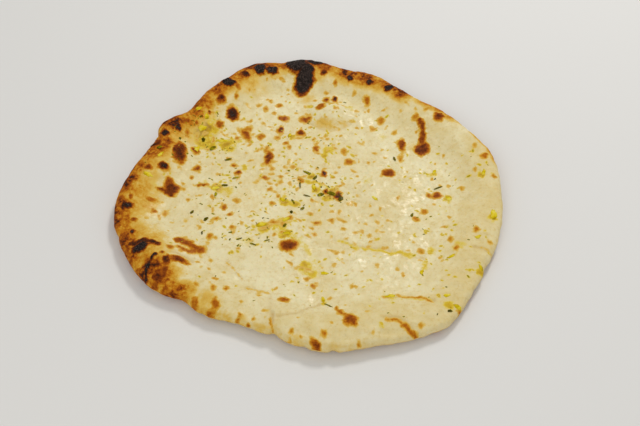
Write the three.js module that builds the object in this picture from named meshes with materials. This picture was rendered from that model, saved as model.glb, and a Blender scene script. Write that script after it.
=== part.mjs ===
// A hand-stretched naan: one round sheet of leavened dough baked as a single piece on the wall
// of a tandoor, with chopped coriander and garlic stuck to its buttered top.
// Millimetres, +Z up. The origin is on the table, under the middle of the bread. The front of
// the bread, with its broad smooth roll, faces -Y; the scorched blister is on the back rim.

import * as THREE from 'three';

// ---- Driving dimensions of the bread ----
const breadWidth = 300;          // across, along X
const breadDepth = 297;          // front to back, along Y
const middleThickness = 6.5;     // dough in the shallow dish
const rimThickness = 12;         // dough at the crest of the puffed rim
const edgeThickness = 4;         // dough just inside the outer edge
const edgeRounding = 4.5;        // how far in the rounded outer edge reaches
const crestFromEdge = 17;        // outer edge to the crest of the rim
const rimWidth = 42;             // outer edge to where the rim meets the dish
const curlWidth = 38;            // outer band of the underside that lifts off the table
const frontEdgeLift = 2;         // how high the outer edge curls up at the front
const backEdgeLift = 9;          // and at the back

// Unevenness all the way round, as [share of the size, waves round, start in radians].
const rimPuffs = [[0.1, 4, 1], [0.07, 7, 0]];
const edgeRipples = [[0.4, 3, 0.5]];

// ---- Driving dimensions of the herbs and garlic ----
const leafThickness = 0.7;
const garlicThickness = 1.1;
const leafLobes = { count: 3, depth: 0.18 };
const garlicLobes = { count: 2, depth: 0.08 };
const restGap = 0.3;             // clearance under every piece that lies on the dough

// ---- Fineness of the mesh ----
const segmentsRound = 96;
const topRings = 24;
const undersideRings = 7;
const edgeSteps = 6;

// The outline, as [degrees from +X, millimetres from the middle], before it is stretched to
// the width and depth above. The dents at 50, 141 and 230 degrees are where fingers pulled it.
const outline = [
  [0, 149], [12, 149], [24, 142], [36, 138], [47, 133], [57, 135], [67, 140], [79, 141],
  [90, 148], [99, 145], [108, 148], [120, 141], [132, 134], [141, 129], [150, 138],
  [160, 133], [172, 140], [188, 150], [205, 150], [220, 147], [230, 138], [236, 140],
  [248, 135], [260, 139], [274, 150], [288, 152], [300, 158], [309, 161], [320, 155],
  [335, 151], [350, 150],
];

// Places where gas pushed the dough up: [x, y, radius, height].
const swells = [
  [19, 88, 21, 4.5],             // round bubble behind the middle
  [-9, 137, 20, 5],              // scorched blister on the back rim
  [-108, -62, 34, 4],            // puffed left rim
  [-118, 20, 30, 2.5],
  [-72, -96, 30, 2.5],
  [48, -112, 46, 2.5],           // the front roll
  [104, 62, 40, 2],
  [118, -42, 36, 2],
  [-48, 92, 34, 2],
  [52, 8, 44, 1.6],
  [-50, -20, 40, 1.4],
];

// ---- The bread ----

const smooth = (low, high, value) => THREE.MathUtils.smoothstep(value, low, high);

// Distance from the middle to the drawn outline, in a direction given in radians: a smooth
// curve through the outline's points.
function outlineReach(direction) {
  const degrees = THREE.MathUtils.euclideanModulo(THREE.MathUtils.radToDeg(direction), 360);
  const count = outline.length;
  let index = outline.findLastIndex(([angle]) => angle <= degrees);
  if (index < 0) index = count - 1;
  const [before, start, end, after] = [-1, 0, 1, 2].map((step) => {
    const place = index + step;
    const turns = Math.floor(place / count);
    const [angle, reach] = outline[THREE.MathUtils.euclideanModulo(place, count)];
    return { angle: angle + 360 * turns, reach };
  });
  const span = end.angle - start.angle;
  const startSlope = (end.reach - before.reach) / (end.angle - before.angle);
  const endSlope = (after.reach - start.reach) / (after.angle - start.angle);
  const t = (degrees - start.angle) / span;
  return start.reach * (1 + 2 * t) * (1 - t) ** 2
    + end.reach * (3 - 2 * t) * t ** 2
    + span * (startSlope * t * (1 - t) ** 2 - endSlope * (1 - t) * t ** 2);
}

// The drawn outline's own box, which fixes how far it is stretched and shifted.
function outlineBox() {
  const box = new THREE.Box2();
  for (let step = 0; step < segmentsRound; step += 1) {
    const direction = (2 * Math.PI * step) / segmentsRound;
    const reach = outlineReach(direction);
    box.expandByPoint(new THREE.Vector2(reach * Math.cos(direction), reach * Math.sin(direction)));
  }
  return box;
}

const drawn = outlineBox();
const drawnSize = drawn.getSize(new THREE.Vector2());
const drawnMiddle = drawn.getCenter(new THREE.Vector2());
const stretchX = breadWidth / drawnSize.x;
const stretchY = breadDepth / drawnSize.y;

// A place on the drawn bread, in the part's own frame.
function placeOnBread(x, y) {
  return new THREE.Vector2((x - drawnMiddle.x) * stretchX, (y - drawnMiddle.y) * stretchY);
}

// 1, give or take the given waves, in a direction in radians.
function uneven(waves, direction) {
  return waves.reduce((sum, [share, count, start]) => (
    sum + share * Math.sin(count * direction + start)), 1);
}

function undersideHeight(direction, fromEdge) {
  const backness = 0.5 + 0.5 * Math.sin(direction);
  const lift = THREE.MathUtils.lerp(frontEdgeLift, backEdgeLift, backness);
  const curl = Math.max(0, 1 - fromEdge / curlWidth);
  return lift * uneven(edgeRipples, direction) * curl ** 2;
}

function doughThickness(direction, fromEdge) {
  const crest = rimThickness * uneven(rimPuffs, direction);
  if (fromEdge < crestFromEdge) {
    return THREE.MathUtils.lerp(edgeThickness, crest, smooth(-crestFromEdge, crestFromEdge, fromEdge));
  }
  return THREE.MathUtils.lerp(crest, middleThickness, smooth(crestFromEdge, rimWidth, fromEdge));
}

function swellHeight(x, y) {
  return swells.reduce((sum, [atX, atY, radius, height]) => {
    const away = Math.hypot(x - atX, y - atY) / radius;
    return away < 1 ? sum + height * (1 - away ** 2) ** 2 : sum;
  }, 0);
}

// Each point of a lathed disc says which way and how far out it is (0 to 1) and which side of
// the dough it is on (-1 under, 1 on top): this moves it to its place on the bread.
function shapeDough(geometry) {
  const position = geometry.getAttribute('position');
  for (let index = 0; index < position.count; index += 1) {
    const share = Math.hypot(position.getX(index), position.getY(index));
    const direction = Math.atan2(position.getY(index), position.getX(index));
    const side = position.getZ(index);
    const reach = outlineReach(direction);
    const x = share * reach * Math.cos(direction);
    const y = share * reach * Math.sin(direction);
    const fromEdge = (1 - share) * reach;
    const under = undersideHeight(direction, fromEdge);
    const edgeFade = smooth(0, crestFromEdge, fromEdge);
    const over = under + doughThickness(direction, fromEdge) + swellHeight(x, y) * edgeFade;
    const place = placeOnBread(x, y);
    position.setXYZ(index, place.x, place.y, THREE.MathUtils.lerp(under, over, (side + 1) / 2));
  }
}

function discProfile() {
  const edgeShare = edgeRounding / (breadWidth / 2);
  const flatShare = 1 - edgeShare;
  const points = [];
  for (let ring = 0; ring < undersideRings; ring += 1) {
    points.push(new THREE.Vector2((flatShare * ring) / undersideRings, -1));
  }
  for (let step = 0; step <= edgeSteps; step += 1) {
    const slope = Math.PI * (step / edgeSteps - 0.5);
    points.push(new THREE.Vector2(flatShare + edgeShare * Math.cos(slope), Math.sin(slope)));
  }
  for (let ring = topRings - 1; ring >= 0; ring -= 1) {
    points.push(new THREE.Vector2((flatShare * ring) / topRings, 1));
  }
  return points;
}

function makeBread() {
  const geometry = new THREE.LatheGeometry(discProfile(), segmentsRound);
  geometry.rotateX(Math.PI / 2);
  shapeDough(geometry);
  geometry.computeVertexNormals();
  const crust = new THREE.MeshStandardMaterial({ color: 0xe3cf9c, roughness: 0.6, metalness: 0 });
  const bread = new THREE.Mesh(geometry, crust);
  bread.name = 'naan_bread';
  return bread;
}

// ---- Coriander and garlic ----

// Torn coriander: [x, y, length, width, turn in degrees].
const leafBits = [
  [-78, 47, 7, 4, 40], [-86, 55, 5, 3, 110], [-65, 34, 6, 2.5, 20], [-72, -4, 5, 2.5, 80],
  [-66, 6, 5, 3, 10], [-89, -22, 4, 2.5, 60], [-1, 20, 7, 3, 150], [5, 14, 5, 3, 60],
  [9, -4, 6, 4, 30], [18, -3, 8, 4, 160], [25, -9, 6, 4, 70], [-7, 6, 8, 1.2, 95],
  [-1, -5, 7, 1.2, 160], [-12, -11, 5, 2, 120], [-5, -18, 4, 2.5, 20], [-13, -22, 4, 2.5, 80],
  [-52, -49, 5, 1.5, 30], [-41, -54, 6, 1.5, 160], [-31, -50, 5, 1.5, 20], [68, 34, 6, 2, 100],
  [100, 3, 8, 1.5, 20], [79, -25, 4, 2.5, 60], [15, -111, 7, 1.5, 150], [100, -118, 4, 2.5, 10],
  [-119, 39, 5, 3, 30], [-18, -35, 4, 2.5, 50], [-80, -43, 4, 1.5, 90], [-58, 14, 7, 1.5, 15],
  [-78, -29, 5, 3, 40],
];

// Minced garlic, stained yellow by the butter: [x, y, length, width, turn in degrees].
const garlicBits = [
  [-117, 30, 6, 4, 60], [-125, 9, 8, 4, 160], [-91, 84, 5, 3.5, 40], [-84, 77, 6, 4, 100],
  [-87, 65, 7, 5, 20], [-90, 45, 7, 4, 70], [-73, 3, 6, 4, 20], [-16, 61, 5, 3, 60],
  [4, 4, 6, 3.5, 110], [-20, -9, 6, 3, 150], [-36, -35, 8, 4, 10], [-17, -29, 6, 3.5, 30],
  [-16, -43, 6, 3, 0], [108, -8, 6, 3.5, 120], [140, -30, 10, 5.5, 80], [126, -52, 5, 3, 30],
  [83, -80, 5, 3, 60], [126, -79, 5, 3, 120], [11, -105, 5, 3, 90], [99, -105, 5, 3, 20],
  [106, -114, 6, 4, 150], [99, 20, 5, 3, 60], [136, 11, 6, 3, 70], [51, -9, 5, 3, 140],
  [105, -68, 6, 3, 20], [12, -81, 6, 3, 170], [59, -103, 7, 3, 10], [-70, 55, 9, 3, 10],
];

// Half of a bit's section, as [share of the way out, share of its thickness].
const bitSection = [[0, 0], [0.7, 0], [1, 0.5], [0.7, 1], [0, 1]];
const bitSegments = 12;

// A flat lump round the origin, longest along X, whose edge is cut into lobes.
function makeBit(length, width, thickness, lobes) {
  const profile = bitSection.map(([out, up]) => new THREE.Vector2(out, up * thickness));
  const geometry = new THREE.LatheGeometry(profile, bitSegments);
  geometry.rotateX(Math.PI / 2);
  const position = geometry.getAttribute('position');
  for (let index = 0; index < position.count; index += 1) {
    const x = position.getX(index);
    const y = position.getY(index);
    const wave = 1 - lobes.depth + lobes.depth * Math.cos(lobes.count * Math.atan2(y, x));
    position.setXY(index, (x * wave * length) / 2, (y * wave * width) / 2);
  }
  return geometry;
}

// Height of the dough's top under a place, found by looking straight down on it from far above.
function surfaceHeight(bread, x, y) {
  const fromAbove = new THREE.Vector3(x, y, breadWidth);
  const down = new THREE.Vector3(0, 0, -1);
  const [hit] = new THREE.Raycaster(fromAbove, down).intersectObject(bread);
  return hit.point.z;
}

// Turns a bit, moves it to its place and lays it down: each of its points follows the dough.
function layOnBread(bread, geometry, [x, y, , , turn]) {
  const place = placeOnBread(x, y);
  geometry.rotateZ(THREE.MathUtils.degToRad(turn));
  geometry.translate(place.x, place.y, 0);
  const position = geometry.getAttribute('position');
  for (let index = 0; index < position.count; index += 1) {
    const under = surfaceHeight(bread, position.getX(index), position.getY(index));
    position.setZ(index, position.getZ(index) + under + restGap);
  }
  geometry.computeVertexNormals();
}

const numbered = (stem, index) => `${stem}_${String(index + 1).padStart(2, '0')}`;

function makeLeaves(bread) {
  return leafBits.map((bit, index) => {
    const green = new THREE.MeshStandardMaterial({ color: 0x3c4a16, roughness: 0.55, metalness: 0 });
    const geometry = makeBit(bit[2], bit[3], leafThickness, leafLobes);
    layOnBread(bread, geometry, bit);
    const leaf = new THREE.Mesh(geometry, green);
    leaf.name = numbered('coriander_leaf', index);
    return leaf;
  });
}

function makeGarlic(bread) {
  return garlicBits.map((bit, index) => {
    const yellow = new THREE.MeshStandardMaterial({ color: 0xd0b83c, roughness: 0.45, metalness: 0 });
    const geometry = makeBit(bit[2], bit[3], garlicThickness, garlicLobes);
    layOnBread(bread, geometry, bit);
    const garlic = new THREE.Mesh(geometry, yellow);
    garlic.name = numbered('garlic_bit', index);
    return garlic;
  });
}

// ---- The whole part ----

const bread = makeBread();
bread.updateMatrixWorld(true);
const naan = new THREE.Group();
naan.add(bread, ...makeLeaves(bread), ...makeGarlic(bread));

export default naan;
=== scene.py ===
import math

import bpy
import numpy as np
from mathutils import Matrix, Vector
from mathutils.bvhtree import BVHTree


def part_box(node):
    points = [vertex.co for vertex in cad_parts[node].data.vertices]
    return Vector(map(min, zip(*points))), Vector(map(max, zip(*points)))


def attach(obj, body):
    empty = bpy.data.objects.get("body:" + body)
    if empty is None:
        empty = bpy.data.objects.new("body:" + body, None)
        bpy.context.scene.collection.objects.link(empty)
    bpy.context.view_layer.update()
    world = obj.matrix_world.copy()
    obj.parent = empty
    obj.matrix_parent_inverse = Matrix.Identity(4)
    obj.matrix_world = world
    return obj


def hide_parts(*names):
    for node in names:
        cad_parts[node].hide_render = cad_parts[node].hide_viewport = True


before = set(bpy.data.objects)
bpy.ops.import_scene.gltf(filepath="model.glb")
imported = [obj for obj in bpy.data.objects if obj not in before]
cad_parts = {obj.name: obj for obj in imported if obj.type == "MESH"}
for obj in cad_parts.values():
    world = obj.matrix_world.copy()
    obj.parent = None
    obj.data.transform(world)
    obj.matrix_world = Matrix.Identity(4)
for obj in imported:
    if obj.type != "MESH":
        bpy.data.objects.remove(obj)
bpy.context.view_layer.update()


# --------------------
# The bread. One ball of leavened dough, pulled by hand into a round sheet, slapped on the hot
# wall of a tandoor, blistered and scorched there, then brushed with butter. It is one piece:
# a shallow dish of soft dough, a puffed rim that took most of the heat, and a flatter underside.
# --------------------

MM = 0.001
DRAWN_WIDTH, DRAWN_DEPTH = 300.0, 297.0     # the marks below are placed on a bread of this size
CAD_DIRECTIONS, CAD_TOP_RINGS, CAD_UNDER_RINGS = 96, 24, 7
EDGE_SHARE = 0.03                           # outermost share of the way out, which is rounded
TOP_RINGS, EDGE_RINGS, UNDER_RINGS = 150, 8, 72
COLUMNS_PER_RING = 6
RIM_INNER, RIM_OUTER = 46, 14               # the rim swells from 46 mm to 14 mm inside the edge
THINNEST = 2.0                              # millimetres of dough that are always left
UNDER_FACE = -0.9                           # a side below this is the underside, not the edge

bread_low, bread_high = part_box("naan_bread")
bread_width, bread_depth = bread_high.x - bread_low.x, bread_high.y - bread_low.y
across, along = DRAWN_WIDTH / bread_width, DRAWN_DEPTH / bread_depth      # drawn mm in a metre
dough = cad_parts["naan_bread"].data
dough_points = [tuple(vertex.co) for vertex in dough.vertices]
dough_tree = BVHTree.FromPolygons(dough_points, [tuple(face.vertices) for face in dough.polygons])


def height_of(tree, x, y, above=True):
    """Height, in metres, at which a plumb line meets a surface from above or from below."""
    side = 1.0 if above else -1.0
    hit = tree.ray_cast(Vector((x, y, side)), Vector((0, 0, -side)))[0]
    return hit.z if hit else None


def curve(before, start, end, after, t):
    """A smooth step from start to end, aimed by the values on either side."""
    return start + 0.5 * t * (end - before + t * (
        2 * before - 5 * start + 4 * end - after + t * (3 * (start - end) + after - before)))


def round_the_bread(values, turn, *ring):
    """Smooth value at each turn (0 to 1) from evenly spaced values all the way round, or from
    one ring of a table of directions by rings."""
    place = turn * len(values)
    first = np.floor(place).astype(int)
    four = [values[((first + step) % len(values), *ring)] for step in (-1, 0, 1, 2)]
    return curve(*four, place - first)


def on_the_bread(table, turn, share):
    """Smooth value from a table of directions by rings; share runs from 0 in to 1 out."""
    rings = table.shape[1] - 1
    first = np.clip(np.floor(share * rings).astype(int), 0, rings - 1)
    near = [np.clip(first + step, 0, rings) for step in (-1, 0, 1, 2)]
    four = [round_the_bread(table, turn, ring) for ring in near]
    return curve(*four, share * rings - first)


def edge_reach():
    """How far the bread's outline reaches in each direction."""
    points = np.array(dough_points)[:, :2]
    turn = np.arctan2(points[:, 1], points[:, 0]) / math.tau
    column = np.round(turn * CAD_DIRECTIONS).astype(int) % CAD_DIRECTIONS
    reach = np.zeros(CAD_DIRECTIONS)
    np.maximum.at(reach, column, np.hypot(points[:, 0], points[:, 1]))
    return reach


def height_table(rings, above):
    """Heights of one side of the bread, from its middle out to where its edge starts to round."""
    table = np.zeros((CAD_DIRECTIONS, rings + 1))
    for column in range(CAD_DIRECTIONS):
        angle = math.tau * column / CAD_DIRECTIONS
        for ring in range(rings + 1):
            out = reach_table[column] * (1 - EDGE_SHARE) * ring / rings
            x, y = out * math.cos(angle), out * math.sin(angle)
            table[column, ring] = height_of(dough_tree, x, y, above)
    return table


reach_table = edge_reach()
top_table = height_table(CAD_TOP_RINGS, True)
under_table = height_table(CAD_UNDER_RINGS, False)


def hills(x, y, size, seed):
    """Smooth random hills and hollows, -1 to 1, each about `size` millimetres across."""
    cells = 128         # the hills repeat after so many
    angle = np.random.default_rng(seed).uniform(0, math.tau, (cells, cells))
    u, v = x / size, y / size
    column, row = np.floor(u).astype(int), np.floor(v).astype(int)
    u, v = u - column, v - row

    def slope(right, up):
        way = angle[(column + right) % cells, (row + up) % cells]
        return np.cos(way) * (u - right) + np.sin(way) * (v - up)

    blend_u = u * u * u * (u * (6 * u - 15) + 10)
    blend_v = v * v * v * (v * (6 * v - 15) + 10)
    low = slope(0, 0) * (1 - blend_u) + slope(1, 0) * blend_u
    high = slope(0, 1) * (1 - blend_u) + slope(1, 1) * blend_u
    return 1.5 * (low * (1 - blend_v) + high * blend_v)


def layers(x, y, waves, start=0.0):
    """Hills of several sizes added to a start. Each wave is (height, size, seed)."""
    return sum((height * hills(x, y, size, seed) for height, size, seed in waves), start)


def wandered(x, y, waves):
    """Places shifted at random, so that a mark loses the outline it was drawn with. Each wave is
    (how far, size, seed across, seed along), in millimetres."""
    return (layers(x, y, [(far, size, seed) for far, size, seed, _ in waves], x),
            layers(x, y, [(far, size, seed) for far, size, _, seed in waves], y))


def ramp(low, high, value):
    """0 up to `low`, 1 from `high` on, and smooth between; it falls if `low` is the larger."""
    t = np.clip((value - low) / (high - low), 0, 1)
    return t * t * (3 - 2 * t)


# Scorched spots on top: (x, y, length, width, heat, turn), in millimetres and degrees. Heat runs
# from 0.35, barely golden, through 0.7, brown, to 1, charred black.
SPOTS = [
    # the big blister on the back rim, and the scorched rim on either side of it
    (-12, 139, 20, 26, 1), (-5, 122, 16, 30, 1, -18), (5, 143, 22, 11, 0.98),
    (-1, 131, 12, 18, 0.99), (-43, 131, 13, 14, 1), (-32, 131, 12, 11, 0.96),
    (-55, 124, 11, 9, 0.84), (-68, 113, 14, 11, 0.98), (-60, 110, 6, 8, 0.6),
    (-61, 101, 5, 7, 0.6), (12, 131, 7, 8, 0.82), (22, 119, 5, 8, 0.6), (34, 122, 9, 10, 0.92),
    (51, 118, 9, 9, 0.9), (67, 110, 11, 10, 0.94),
    # behind the middle
    (14, 101, 6, 9, 0.8), (21, 101, 5, 10, 0.92), (9, 92, 8, 8, 0.62), (48, 99, 6, 11, 0.62),
    (59, 78, 7, 8, 0.5), (37, 108, 4, 6, 0.4), (52, 70, 5, 7, 0.45), (70, 65, 5, 7, 0.42),
    (-37, 91, 5, 7, 0.48), (-26, 96, 5, 5, 0.5, 25), (-30, 87, 4, 4, 0.45), (-43, 96, 4, 4, 0.42),
    (-21, 81, 10, 7, 0.68, -15), (-4, 81, 10, 9, 0.66), (-24, 68, 6, 9, 0.82),
    (-7, 65, 7, 8, 0.78), (-52, 62, 7, 16, 0.68, 30), (-50, 69, 5, 7, 0.5), (-40, 60, 7, 8, 0.5),
    (-59, 59, 6, 6, 0.52), (-39, 75, 4, 4, 0.38), (-33, 37, 7, 16, 0.74), (-34, 47, 4, 7, 0.42),
    (-19, 53, 5, 5, 0.56), (-27, 59, 6, 5, 0.45), (5, 47, 7, 7, 0.62, -35), (-9, 58, 7, 3, 0.4),
    (28, 44, 5, 9, 0.42), (32, 32, 7, 8, 0.56),
    # the right side
    (97, 84, 5, 7, 0.4), (87, 77, 6, 7, 0.5), (106, 74, 10, 11, 0.74), (75, 51, 7, 16, 0.72),
    (91, 44, 13, 15, 0.74), (63, 19, 10, 9, 0.7), (74, 35, 4, 8, 0.5), (139, 29, 7, 7, 0.56),
    (132, 40, 5, 6, 0.42), (145, 8, 4, 5, 0.6), (130, 16, 4, 5, 0.42), (119, 1, 4, 5, 0.45),
    (94, -3, 6, 5, 0.6), (100, -4, 8, 8, 0.68, 35), (89, -21, 7, 6, 0.5), (82, -28, 6, 5, 0.5),
    (126, -44, 5, 7, 0.5), (107, -50, 6, 7, 0.42), (110, -60, 5, 8, 0.58), (84, -59, 7, 5, 0.45),
    (135, -55, 4, 4, 0.4), (109, -118, 5, 6, 0.78),
    # the back left, where the wall was hottest
    (-74, 96, 8, 11, 0.83), (-64, 84, 11, 15, 0.86), (-74, 73, 7, 9, 0.66), (-83, 83, 5, 6, 0.85),
    (-89, 77, 3, 4, 0.97), (-104, 37, 12, 24, 0.78), (-100, 60, 5, 9, 0.62),
    (-107, 63, 7, 8, 0.92), (-117, 55, 8, 9, 0.95), (-121, 45, 8, 9, 0.78),
    (-115, 20, 9, 9, 0.88), (-127, 17, 10, 8, 0.7), (-136, 6, 5, 8, 0.74), (-143, 2, 5, 8, 0.86),
    (-136, -4, 5, 6, 0.6), (-137, -11, 6, 8, 0.72), (-108, 2, 13, 13, 0.76),
    (-110, 8, 8, 9, 0.68), (-122, -11, 11, 6, 0.62), (-84, 7, 9, 4, 0.76),
    (-139, -20, 14, 8, 0.9), (-92, 43, 8, 6, 0.76, -42), (-89, 25, 6, 6, 0.74, -30),
    (-93, 15, 4, 5, 0.58), (-93, 69, 5, 7, 0.66), (-65, 35, 4, 3, 0.7), (-61, 29, 5, 5, 0.62),
    (-56, 20, 6, 6, 0.72),
    # the middle
    (-35, 15, 7, 5, 0.62), (-30, 25, 4, 6, 0.5), (-7, 13, 5, 7, 0.5), (-13, 27, 5, 4, 0.46),
    (12, 19, 5, 7, 0.9), (-30, 3, 4, 5, 0.5), (-22, 11, 4, 5, 0.4), (-15, 9, 4, 5, 0.42),
    (-56, -10, 7, 5, 0.46, -20), (-28, -12, 5, 4, 0.5), (-66, -17, 5, 6, 0.66),
    (-60, -24, 5, 4, 0.66), (-71, -28, 5, 3, 0.6), (-75, -6, 3, 5, 0.5), (1, -23, 5, 4, 0.5),
    (24, -21, 3, 6, 0.5), (18, -20, 3, 4, 0.46), (6, -32, 7, 4, 0.55, -20), (17, -29, 5, 4, 0.56),
    (-14, -27, 5, 4, 0.66), (-26, -31, 8, 3, 0.56), (23, -5, 7, 10, 0.84), (13, -1, 6, 8, 0.82),
    (-15, -54, 14, 12, 0.72), (-58, -37, 5, 5, 0.5), (21, -61, 4, 4, 0.42), (46, -44, 3, 4, 0.4),
    (47, -50, 3, 3, 0.42), (51, -73, 3, 4, 0.42), (31, -93, 3, 4, 0.45), (27, -38, 5, 3, 0.46),
    (52, -31, 5, 4, 0.38), (-1, -85, 5, 4, 0.48), (4, -91, 5, 5, 0.56, -30),
    # the left rim
    (-143, -27, 4, 6, 0.66), (-133, -33, 7, 6, 0.72), (-119, -22, 4, 6, 0.62),
    (-110, -22, 5, 8, 0.42), (-123, -30, 5, 5, 0.38), (-132, -46, 6, 8, 0.88),
    (-125, -62, 17, 12, 0.97, 15), (-108, -67, 5, 5, 0.76), (-103, -60, 5, 5, 0.6),
    (-104, -74, 7, 10, 0.82), (-96, -71, 13, 8, 0.76), (-90, -73, 6, 5, 0.64),
    (-110, -79, 7, 8, 0.78), (-109, -88, 10, 16, 0.76), (-113, -96, 9, 10, 0.72),
    (-105, -84, 8, 12, 0.72), (-102, -91, 5, 7, 0.7), (-103, -97, 3, 11, 0.78),
    (-99, -102, 4, 5, 0.8), (-75, -45, 5, 6, 0.5), (-73, -68, 3, 5, 0.42), (-81, -94, 4, 5, 0.48),
    (-68, -98, 4, 6, 0.5), (-59, -98, 4, 6, 0.56),
    # the front
    (-81, -110, 8, 14, 0.56), (-66, -112, 7, 11, 0.6), (-70, -119, 9, 7, 0.58),
    (-65, -123, 5, 4, 0.6), (-48, -120, 4, 4, 0.62), (-50, -123, 4, 4, 0.62),
    (-52, -126, 5, 3, 0.6), (-43, -129, 5, 5, 0.68), (-38, -124, 3, 4, 0.5),
    (-31, -134, 3, 3, 0.5), (-17, -106, 9, 6, 0.64, -15), (-11, -136, 4, 5, 0.45),
    (-12, -142, 3, 4, 0.56), (-5, -139, 3, 3, 0.5), (6, -146, 6, 11, 0.72, 35),
    (11, -138, 5, 8, 0.56), (30, -127, 11, 14, 0.68, 30), (23, -117, 5, 6, 0.56),
    (36, -145, 3, 4, 0.5), (46, -136, 3, 4, 0.46), (33, -149, 4, 3, 0.8), (80, -130, 4, 5, 0.5),
]

# Scorched or golden streaks: (heat, width, points along it).
STREAKS = [
    (0.85, 2.4, [(24, 133), (27, 126), (30, 121)]),
    (0.62, 2.8, [(28, 130), (41, 126), (59, 116)]),
    (0.70, 2.4, [(-52, 142), (-42, 147), (-25, 147)]),
    (0.90, 2.8, [(-24, 147), (-9, 150), (10, 147)]),
    (0.82, 4.0, [(-118, 0), (-112, 0), (-106, -3)]),
    (0.80, 2.1, [(-123, 53), (-116, 64), (-104, 72)]),
    (0.68, 2.4, [(-129, 24), (-126, 30), (-123, 36)]),
    (0.84, 6.0, [(-133, -57), (-123, -56), (-112, -59)]),
    (0.97, 4.6, [(-112, -70), (-115, -75), (-117, -79), (-118, -83), (-118, -88)]),
    (0.66, 6.5, [(-99, -50), (-95, -50), (-89, -54), (-80, -59)]),
    (0.62, 5.0, [(-97, -58), (-92, -60), (-85, -60)]),
    (0.72, 5.5, [(91, 72), (93, 62), (91, 52)]), (0.60, 3.6, [(20, -113), (26, -121)]),
    (0.42, 1.3, [(-45, -94), (-36, -97), (-27, -100)]),
    (0.42, 1.2, [(-60, -70), (-55, -76), (-49, -85)]),
    (0.46, 1.6, [(-8, -74), (-2, -76), (3, -78)]), (0.56, 2.0, [(53, -103), (58, -104)]),
    (0.58, 2.0, [(64, -101), (70, -104), (81, -104), (89, -109)]),
    (0.56, 2.4, [(55, -126), (63, -126), (68, -130)]),
    (0.60, 4.6, [(68, -130), (73, -135), (77, -138)]),
    (0.42, 1.1, [(128, -61), (133, -62), (136, -66)]),
    (0.42, 1.3, [(-37, -38), (-26, -33), (-14, -31)]),
    (0.54, 2.0, [(-26, -124), (-25, -132), (-25, -141)]),
]


def arc(middle_x, middle_y, radius, start, end):
    """Points along part of a circle, from one angle in degrees to another."""
    angles = [math.radians(degrees) for degrees in range(start, end + 1, 15)]
    return [(middle_x + radius * math.cos(angle), middle_y + radius * math.sin(angle))
            for angle in angles]


# Creases pressed or torn into the top, each also darkened along it with painted shade: (depth,
# width, points along it).
CREASES = [
    (2.4, 1.3, [(-25, -120), (-26, -131), (-25, -150)]),
    (0.3, 4.0, [(-27, -104), (-26, -122), (-25, -150)]),
    (0.6, 1.5, [(-21, -123), (-8, -120), (1, -112), (9, -108)]),
    (0.5, 2.0, [(-45, -94), (-36, -97), (-27, -100)]),
    (0.5, 2.0, [(25, -51), (39, -55), (54, -57), (70, -62), (86, -66)]),
    (0.9, 2.0, [(55, -103), (64, -102), (75, -104), (90, -108)]),
    (0.8, 2.4, [(55, -124), (64, -124), (71, -131), (77, -138)]),
    (0.6, 2.0, [(122, -60), (130, -61), (138, -67)]),
    (0.4, 2.0, [(-60, -70), (-55, -76), (-49, -85)]), (0.5, 1.8, arc(17, 89, 21, 200, 335)),
    (0.7, 2.6, [(-122, -76), (-112, -66), (-98, -64), (-86, -70)]),
    (0.6, 3.0, [(-86, 96), (-80, 80), (-78, 62), (-82, 46)]),
]

# Large thin-skinned bubbles: (x, y, radius, rise), in millimetres.
PILLOWS = [(17, 89, 20, 3.0), (43, 86, 15, 1.6)]

# Nicks in the outline: (degrees round from the right, width, depth).
NICKS = [(260, 4, 2.5), (269, 3, 1.6), (277, 3, 1.8), (330, 5, 1.6), (322, 4, 1.2),
         (198, 4, 1.0), (156, 4, 1.4), (119, 5, 1.0), (74, 4, 1.0), (34, 5, 1.2), (237, 4, 1.2)]

# Toasting of the rim, deepest at its very edge: (degrees round, half width in degrees, how far in
# from the edge in millimetres, heat).
RIM_TOAST = [
    (92, 16, 22, 0.94), (110, 13, 25, 0.9), (123, 9, 24, 0.88), (136, 10, 24, 0.82),
    (148, 9, 28, 0.92), (161, 10, 28, 0.9), (176, 10, 22, 0.9), (190, 10, 22, 0.92),
    (204, 11, 24, 0.86), (216, 9, 34, 0.84), (226, 7, 20, 0.76), (240, 10, 7, 0.3),
    (258, 8, 6, 0.2), (278, 12, 6, 0.16), (345, 14, 3, 0.12), (16, 9, 6, 0.6), (38, 12, 12, 0.6),
    (57, 9, 20, 0.95), (72, 13, 27, 0.97),
]

# Broad golden toasting, and painted shade on the front lip of the big bubble: (x, y, radius,
# strength).
HAZES_AND_LIP_SHADE = [
    (-140, -10, 38, 0.84), (-128, -62, 40, 0.85), (-112, -92, 26, 0.7), (-128, 26, 30, 0.6),
    (-112, 62, 30, 0.65), (-92, 90, 28, 0.6), (-62, 124, 28, 0.75), (-30, 140, 26, 0.85),
    (-46, 116, 20, 0.3), (6, 140, 28, 0.8), (42, 130, 26, 0.85), (72, 114, 22, 0.75),
    (104, 92, 18, 0.35), (-76, -114, 22, 0.6), (-48, -124, 12, 0.36), (-33, -137, 9, 0.45),
    (-8, -142, 14, 0.3), (140, 36, 22, 0.2), (-4, 106, 16, 0.3), (84, 48, 14, 0.25),
    # the three at (9, 75), (19, 73) and (29, 76) are painted shade: a tan crescent on the front
    # slope of the big bubble
    (9, 75, 9, 0.4), (19, 73, 10, 0.46), (29, 76, 8, 0.34), (-58, -8, 52, 0.16),
    (100, -20, 46, 0.12), (80, -70, 40, 0.1),
]

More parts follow.
